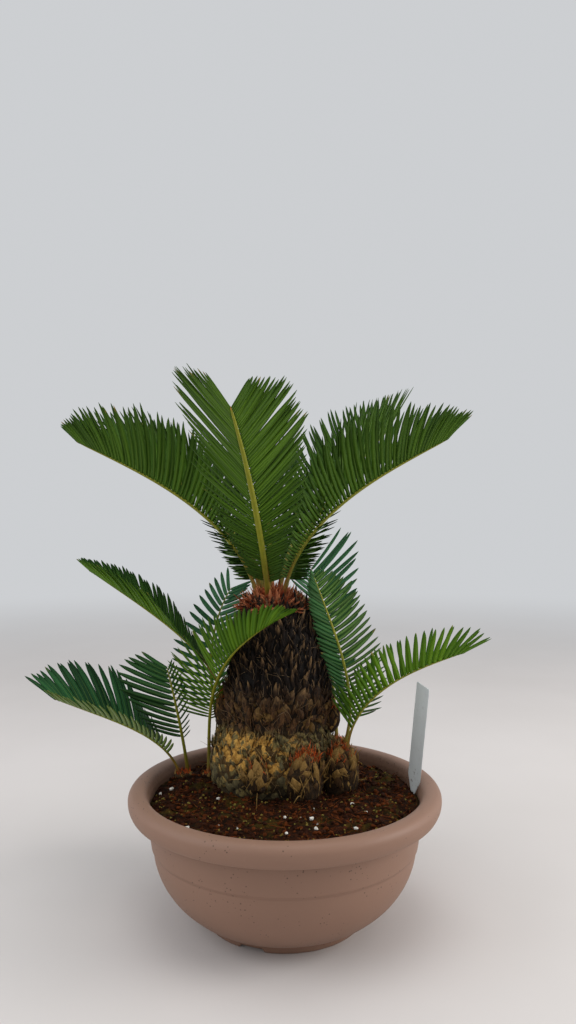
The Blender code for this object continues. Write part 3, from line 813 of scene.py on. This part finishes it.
fronds = {
    "left_low": frond((-0.0275, 0.03), 194, 74, 49, 0.24, 0.072, bend=2.15, low=(-35, 5),
        tipLeaf=0.28, tint=0.55),
    "left_high": frond((-0.0245, 0.0425), 165, 78, 54, 0.242, 0.071, bend=1.93, tipLeaf=0.28,
        tint=0.45),
    "front": frond((-0.0165, 0.023), 262, 56, 26, 0.248, 0.08, bend=1.1, sides=(1.04, 0.9), vee=34,
        wide=(62, 66), close=(26, 40), ribWidth=0.0056, gap=0.0034, leafWidth=0.0047, low=-10,
        tipLeaf=0.4, tint=0.68, warm=0.0, profile="front"),
    "right_low": frond((-0.002, 0.0295), -15, 79, 52, 0.233, 0.072, bend=2.2, low=(5, -35),
        tint=0.52),
    "right_high": frond((-0.0015, 0.041), 22, 76, 31, 0.216, 0.076, bend=2.2, tipLeaf=0.62,
        tint=0.45),
    "back_right": frond((-0.0065, 0.0485), 60, 72, 52, 0.225, 0.067, tint=0.3),
    "back": frond((-0.014, 0.0505), 96, 76, 48, 0.22, 0.067, tint=0.35),
    "back_left": frond((-0.021, 0.049), 131, 70, 54, 0.228, 0.067, tint=0.3),
    "pup_left_out": frond((-0.1085, 0.0435), 188, 72, 53, 0.153, 0.064, stand=0.1195, bend=3.4,
        sway=-12, vee=(62, 36), low=(5, 52), wide=(62, 84), close=(20, 66), sides=(1.0, 0.62),
        leafWidth=0.0058, tipLeaf=0.62, tint=(0.1, 0.6), pale=(0.1, 0.85)),
    "pup_left_up": frond((-0.101, 0.051), 225, 80, 6, 0.114, 0.06, stand=0.1195, bend=1.4, vee=20,
        roll=-60, wide=(70, 60), close=(48, 35), sides=(1.0, 0.32), gap=0.0056,
        leafWidth=(0.006, 0.0028), start=0.3, tint=(0.1, 0.2), profile="late"),
    "pup_side": frond((-0.0785, 0.0455), -90, 96, 66, 0.238, 0.056, stand=0.1185, sway=54,
        start=0.25, sides=(1.0, 0.8), gap=0.0042, leafWidth=(0.0048, 0.0042), wide=78,
        close=(-6, -4), tint=0.85, profile="early", tipLeaf=0.2),
    "bud_left": frond((-0.0645, 0.037), 180, 68, 35, 0.186, 0.04, stand=0.205, bend=3.0, sway=-5,
        gap=0.0034, leafWidth=0.0042, sides=(0.92, 1.0), vee=(62, 48), wide=(56, 46),
        close=(22, 18), tint=(0.3, 0.85)),
    # tint below zero paints light onto this shaded frond as a lighter greyish green
    "pup_back_left": frond((-0.064, 0.095), 40, 115, 66, 0.183, 0.047, stand=0.13, bend=0.68,
        sway=-9, roll=-50, tipLeaf=0.5, profile="early", gap=0.0066, leafWidth=0.0052,
        wide=(70, 84), close=(40, 34), vee=15, tint=-0.5, start=0.28),
    "pup_right_out": frond((0.061, 0.004), -5, 88, 68, 0.158, 0.045, stand=0.154, bend=2.2, low=75,
        gap=0.0054, leafWidth=(0.0046, 0.004), tuck=42, vee=(76, 60), wide=(98, 92), close=(14, 4),
        tipLeaf=0.7, profile="even", tint=(0.98, 0.86), start=0.13, lean=0.02),
    "pup_right_up": frond((0.0585, 0.0165), 200, 112, 44, 0.181, 0.053, stand=0.154, bend=2.94,
        vee=15, roll=-100, sides=(0.48, 1.06), gap=0.0041, leafWidth=0.0043, wide=(60, 90),
        close=(12, 84), profile="brief", low=0, tipLeaf=0.1, tint=(0.08, 0.3)),
    # tint below zero paints light onto this shaded frond as a lighter greyish green
    "pup_back_right": frond((0.056, 0.09), 110, 85, 35, 0.2, 0.072, stand=0.14, bend=1.0,
        tipLeaf=0.8, profile="fan", gap=0.0072, leafWidth=0.0056, wide=76, close=50, vee=25,
        sides=(1.0, 0.8), tint=-0.3, start=0.34),
}
ribLift, rootSink, ribSteps, ribRows, ribRing = 0.0003, 0.0045, 240, 64, 10
leafThick, leafFold = 0.00075, 0.16
# outline of a leaflet, as rows of a blade
leafRows = [(0, 0.5, 0.8), (0.05, 0.85, 1), (0.2, 1, 1), (0.45, 1, 1), (0.7, 0.93, 0.9),
            (0.86, 0.72, 0.75), (0.95, 0.4, 0.55), (1, 0.06, 0.3)]


def ribFrame(spec, s):
    # unit vectors along the rib, off its upper side and to its right at the fractions s: the climb
    # eases off as 1 - (1 - s)^bend times the arch, the heading turns evenly by the sway
    climb = np.radians(spec["climb"] - spec["arch"] * (1 - (1 - np.clip(s, 0, 1)) ** spec["bend"]))
    head = np.radians(spec["heading"] + spec["sway"] * s)
    level, steep = np.cos(climb)[:, None], np.sin(climb)[:, None]
    along = level * around(head) + steep * up
    upper = level * up - steep * around(head)
    right = np.stack([np.sin(head), -np.cos(head), 0 * head], -1)
    roll = math.radians(spec["roll"])
    return (along, upper * math.cos(roll) - right * math.sin(roll),
            right * math.cos(roll) + upper * math.sin(roll))


def ribPoint(spec, s):
    # the rib's path: running sum of its direction in short steps, read at the fractions s
    step = ribFrame(spec, (np.arange(ribSteps) + 0.5) / ribSteps)[0] * spec["length"] / ribSteps
    path = np.vstack([np.zeros(3), np.cumsum(step, 0)])
    along = np.linspace(0, 1, ribSteps + 1)
    below = np.minimum(s, 0)[:, None] * spec["length"] * step[0] / np.linalg.norm(step[0])
    return np.stack([np.interp(s, along, path[:, k]) for k in range(3)], 1) + below + spec["at"]


def ribWidth(spec, s):
    # widths at known fractions, from the broad foot to the fine tip, and straight between them
    foot, stalk = spec["foot"], spec["ribWidth"]
    return np.interp(s, [-0.05, 0.0, 0.06, 0.16, 0.45, 0.8, 0.96, 1.0],
                     [foot * 1.1, foot, foot * 0.8, stalk * 1.1, stalk, stalk * 0.62, stalk * 0.4,
                      stalk * 0.12])


def addRib(shape, spec):
    # rounded rib, flatter above than below, carried along the path with its width at each step
    s = np.concatenate([[-rootSink / spec["length"]], np.linspace(0, 1, ribRows)])
    along, upper, right = ribFrame(spec, s)
    turn = np.arange(ribRing) / ribRing * math.tau
    half = ribWidth(spec, s)[:, None] / 2
    sideways = half * np.cos(turn)
    upward = half * np.where(np.sin(turn) > 0, 0.55, 0.85) * np.sin(turn)
    points = (ribPoint(spec, s)[:, None] - right[:, None] * sideways[..., None]
              + upper[:, None] * upward[..., None])
    shape.add(points, tubeFaces(len(s), ribRing), station=s[:, None], flank=np.abs(np.cos(turn)),
              warm=spec["warm"])


def addLeaflets(shape, spec, profile, seed):
    # a leaflet each side at every gap: it leaves the rib at an angle that closes to the tip and is
    # lifted off the blade's plane by the vee; its length follows the profile along the rib, and
    # its edges and underside carry the pale value
    rand = np.random.default_rng(seed)
    count = int(spec["length"] * (1 - spec["start"]) / spec["gap"])
    keys = ("sides", "low", "vee", "wide", "close", "tint", "pale", "leafWidth")
    for side, row in ((1, 0), (-1, 1)):
        share, low, vee, wideAngle, closeAngle, tint, pale, leafWidth = (
            np.broadcast_to(spec[key], 2)[row] for key in keys)
        u = (np.arange(count) + 0.5 + 0.25 * side) / count
        s = spec["start"] + (0.995 - spec["start"]) * (u - 0.22 * np.sin(math.tau * u) / math.tau)
        s = np.clip(s + rand.normal(0, 0.0008, count), 0, 1)
        along, upper, right = ribFrame(spec, s)
        lift = np.radians(np.interp(s, [spec["start"], 0.3, 0.5, 1.0],
                                    [low, low * 0.35 + vee * 0.35, vee, vee * 0.9])
                          + rand.normal(0, 1.4, count))[:, None]
        angle = np.radians(wideAngle - (wideAngle - closeAngle) * (0.38 * u + 0.62 * u ** 4)
                           - spec["tuck"] * np.clip(1 - u / 0.45, 0, 1)
                           + rand.normal(0, 1.1, count))[:, None]
        outward = np.cos(lift) * right * side + np.sin(lift) * upper
        lean = unit(np.cos(angle) * along + np.sin(angle) * outward)
        long = spec["leaf"] * share * readAt(profile, s) * rand.uniform(0.96, 1.03, count)
        wide = leafWidth * np.interp(u, [0, 0.25, 0.5, 0.85, 1], [0.5, 0.72, 1, 0.9, 0.7])
        stalk = ribWidth(spec, s)[:, None]
        base = ribPoint(spec, s) + right * side * (stalk * 0.36) + upper * (stalk * 0.1)
        droop = -up * spec["sag"] - upper * 0.03
        curl = (along * (spec["lean"] + rand.uniform(-0.04, 0.04, (count, 1))) + droop
                + rand.normal(0, 0.011, (count, 3)))
        leaflets = blades(base, lean, along * side, long, wide, leafThick, leafRows, leafRing, curl,
                          leafFold)
        shape.add(*leaflets, pick=perBlade(rand.uniform(0, 1, count)), station=perBlade(s), tint=tint,
                  under=pale * (np.array(leafRing)[:, 1] <= 0))


# share of the leaflet's full length at fractions of the rib
profiles = {
    "crown": [(0.06, 0.28), (0.1, 0.36), (0.18, 0.5), (0.45, 1.0), (0.7, 1.0), (0.88, 0.7), (1.0, 0.28)],
    "front": [(0.08, 0.22), (0.18, 0.34), (0.42, 0.82), (0.62, 1.0), (0.82, 0.88), (1.0, 0.38)],
    "shoot": [(0.1, 0.35), (0.25, 0.7), (0.45, 1.0), (0.72, 0.95), (0.9, 0.68), (1.0, 0.28)],
    "early": [(0.1, 0.2), (0.22, 0.4), (0.38, 1), (0.6, 0.85), (0.75, 0.66), (0.9, 0.55), (1.0, 0.3)],
    "even": [(0.1, 0.7), (0.18, 1.0), (0.36, 1.0), (0.6, 0.9), (0.88, 0.9), (1.0, 0.65)],
    "fan": [(0.1, 0.3), (0.5, 0.5), (0.75, 0.75), (0.92, 1.0), (1.0, 0.85)],
    "brief": [(0.1, 0.35), (0.25, 0.85), (0.45, 1.0), (0.72, 0.92), (0.86, 0.66), (1.0, 0.15)],
    "late": [(0.1, 0.3), (0.35, 0.55), (0.5, 0.85), (0.65, 1.0), (0.85, 0.85), (1.0, 0.45)],
}

leafLook = Look("leaflets satin green")
pick, reach, edge, station, tint, under = leafLook.heed("pick reach edge station tint under")
cloud = leafLook.noise(22, 3)
cool = leafLook.mix(pick, paint(16, 60, 32), paint(40, 96, 54))
plain = leafLook.mix(pick, paint(36, 70, 2), paint(60, 96, 6))
bright = leafLook.mix(pick, paint(56, 98, 0), paint(90, 132, 6))
# painted light: a lighter greyish copy of the leaf green, laid on by tint below zero
paintedLightGreen = leafLook.mix(pick, paint(44, 92, 62), paint(74, 128, 90))
leafLook.colour = cool
leafLook.over(tint.ramp(0.05, 0.45), plain)
leafLook.over(tint.ramp(0.5, 1.0), bright)
leafLook.over(1 - tint.ramp(-0.55, -0.05), paintedLightGreen)
deep = (1 - station.ramp(0.1, 0.42)) * 0.5 + reach.ramp(0.55, 1.0) * 0.35 + cloud * 0.12
leafLook.over(deep, leafLook.mix(tint, paint(8, 36, 14), paint(20, 52, 4)))
vein = 1 - edge.ramp(0.02, 0.16)
leafLook.over(vein * (1 - reach) * 0.45, paint(132, 158, 60))
leafLook.over(under, paint(110, 132, 62))
dry = (pick + leafLook.noise(160, 2) * 0.5).ramp(1.12, 1.3) * reach.ramp(0.86, 1.0)
leafLook.over(dry, paint(150, 122, 66))
leafLook.wear(0.42 + cloud * 0.18 + reach * 0.08, 0.14,
              leafLook.noise(1400, 2) + vein * 0.6, 0.0003, 0.3)

ribLook = Look("rib olive stalk", paint(104, 110, 16))
station, flank, warm = ribLook.heed("station flank warm")
streak = ribLook.noise(260, 4, 0.6, (1, 1, 0.3))
ribLook.over(streak, paint(150, 148, 34))
ribLook.over((1 - station.ramp(0.05, 0.3)) * 0.8,
             ribLook.mix(streak, paint(86, 74, 14), paint(132, 116, 30)))
ribLook.over((1 - station.ramp(0.07, 0.2)) * flank.ramp(0.7, 1.0) * 0.6, paint(146, 84, 28))
ribLook.over((1 - station.ramp(0.0, 0.05)) * streak.ramp(0.2, 0.6), paint(120, 46, 20))
ribLook.over(ribLook.noise(900, 2).ramp(0.6, 0.68) * warm, paint(130, 70, 26))
ribLook.over(station.ramp(0.975, 1.0), paint(196, 120, 50))
ribLook.wear(0.46 + streak * 0.22, 0.4, streak, 0.0005, 0.4)

joined = {"crown": (Shape(), Shape()), "shoot": (Shape(), Shape())}
nodesOf = {"crown": [], "shoot": []}
for order, (name, own) in enumerate(fronds.items()):
    group = "shoot" if name.startswith(("pup", "bud")) else "crown"
    spec = {**frondBase, **(shootBase if group == "shoot" else {}), **own}
    spec["at"] = np.array([*spec["root"], spec["stand"] + ribLift])
    profile = profiles[spec["profile"]]
    profile = profile[:-1] + [(1.0, max(profile[-1][1], spec["tipLeaf"]))]
    addRib(joined[group][0], spec)
    addLeaflets(joined[group][1], spec, profile, 100 + order)
    nodesOf[group] += [f"frond_{name}_inner", f"frond_{name}_outer"]
for group, (ribShape, leafShape) in joined.items():
    ribShape.make(group + "Ribs", ribLook, group + "_fronds", nodesOf[group])
    leafShape.make(group + "Leaflets", leafLook, group + "_fronds", nodesOf[group])

studio = dict(
    floor=paint(220, 215, 213), dusty=paint(208, 203, 200), air=(0.64, 0.655, 0.675, 1.0),
    airStrength=0.95, frontStrength=0.68, reach=9.0, eye=(0.003, -0.769, 0.3875), lens=27.77,
    aim=(0, 0, 0.25))
floorLook = Look("floor pale board", studio["floor"])
haze = floorLook.noise(3.0, 3)
away = floorLook.node("VectorMath", {"operation": "LENGTH"}, {0: floorLook.place}, "Value")
away = away.ramp(0.9, 3.2)
black = (0.0, 0.0, 0.0, 1.0)
floorLook.over(haze, studio["dusty"])
floorLook.over(away, black)
floorLook.wear(0.85 + haze * 0.1, 0.0)
floorGlow = floorLook.mix(away, black, studio["air"])
floorLook.feed(floorLook.shader.inputs["Emission Color"], floorGlow)
floorLook.feed(floorLook.shader.inputs["Emission Strength"], studio["airStrength"])
size = studio["reach"]
floorMesh = bpy.data.meshes.new("floorBoard")
floorMesh.from_pydata([(-size, -size, 0), (size, -size, 0), (size, size, 0), (-size, size, 0)], [],
                      [(0, 1, 2, 3)])
floorMesh.materials.append(floorLook.material)
floorBoard = addObject("floorBoard", floorMesh)
floorBoard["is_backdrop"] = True

# the air is dimmer towards the front than behind the plant
airLook = Look("pale air", studio["air"], bpy.data.worlds, "Background")
facing = airLook.node("TexCoord", {}, {}, "Generated")
ahead = airLook.node("SeparateXYZ", {}, {"Vector": facing}, 1)
strength = airLook.node("MapRange", {"interpolation_type": "SMOOTHSTEP"},
                        {"Value": ahead, "From Min": -0.7, "From Max": 0.5,
                         "To Min": studio["frontStrength"], "To Max": studio["airStrength"]})
airLook.feed(airLook.shader.inputs["Color"], airLook.colour)
airLook.feed(airLook.shader.inputs["Strength"], strength)
bpy.context.scene.world = airLook.material

lamps = {
    "keyLamp": dict(at=(1.7, -0.2, 0.8), size=1.1, power=18.0, tone=(1.0, 0.98, 0.95)),
    "topLamp": dict(at=(0.0, -0.25, 2.1), size=1.5, power=13.0, tone=(1.0, 0.99, 0.97)),
    "sideLamp": dict(at=(-1.3, -0.5, 0.95), size=1.2, power=8.0, tone=(0.94, 0.97, 1.0)),
}
for name, lamp in lamps.items():
    light = bpy.data.lights.new(name, "AREA")
    light.shape = "DISK"
    light.size = lamp["size"]
    light.energy = lamp["power"]
    light.color = lamp["tone"]
    holder = addObject(name, light)
    holder.location = lamp["at"]
    towards = mathutils.Vector(studio["aim"]) - holder.location
    holder.rotation_euler = towards.to_track_quat("-Z", "Y").to_euler()

view = bpy.data.cameras.new("photoCamera")
view.sensor_width = 36
view.lens = studio["lens"]
eye = addObject("photoCamera", view)
eye.location = studio["eye"]
eye.rotation_euler = (math.radians(90), 0, 0)
bpy.context.scene.camera = eye
bpy.context.scene.view_settings.view_transform = "Standard"
print("light and camera placed")

bpy.context.view_layer.update()
low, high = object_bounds()
